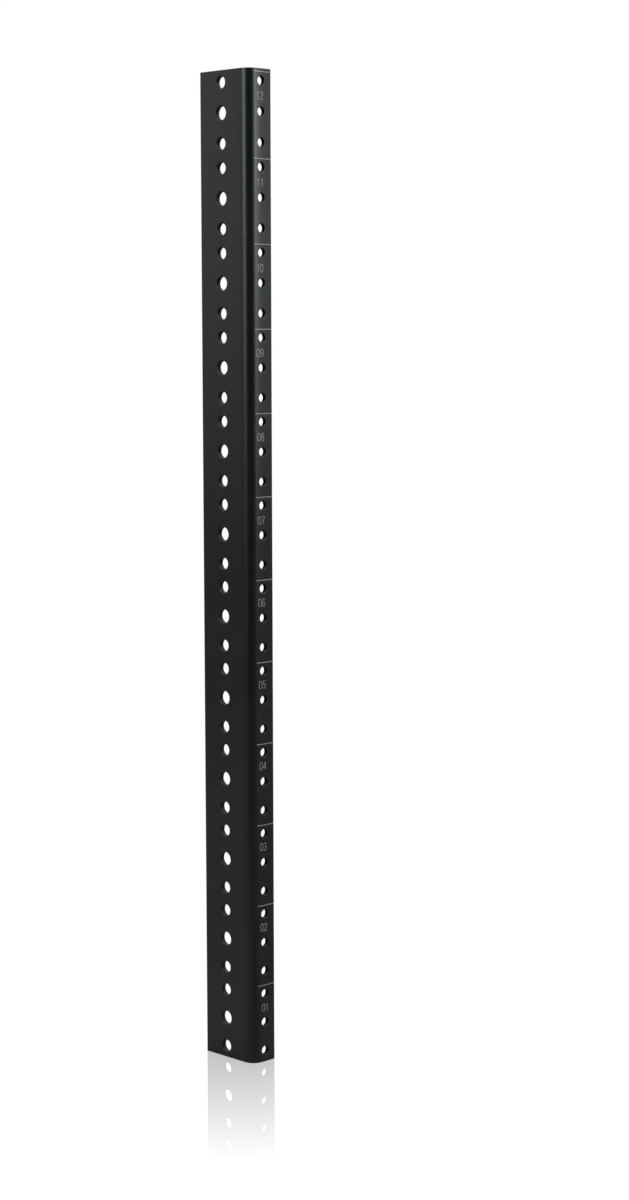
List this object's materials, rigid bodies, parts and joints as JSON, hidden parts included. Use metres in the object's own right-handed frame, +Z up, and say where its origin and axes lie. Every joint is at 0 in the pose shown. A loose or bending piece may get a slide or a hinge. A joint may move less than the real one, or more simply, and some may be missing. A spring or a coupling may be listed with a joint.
{
  "type": "rack mounting rail",
  "caption": "Folded steel angle rail for equipment racks, with tapped holes and unit numbers down its narrow front flange and clear bolt holes down its wide side flange.",
  "frame": {"origin": "on the floor under the middle of the rail's outer width and depth, at its lower end", "axes": "+Z up the rail, -Y out of the narrow front flange that carries the tapped holes, and -X out of the wide side flange that bolts to the cabinet"},
  "size_m": [0.016, 0.037, 0.5334],
  "materials": {
    "black_coat": "satin",
    "print_ink": "matte"
  },
  "bodies": {
    "root": {"rail": "black_coat"}
  },
  "joints": []
}
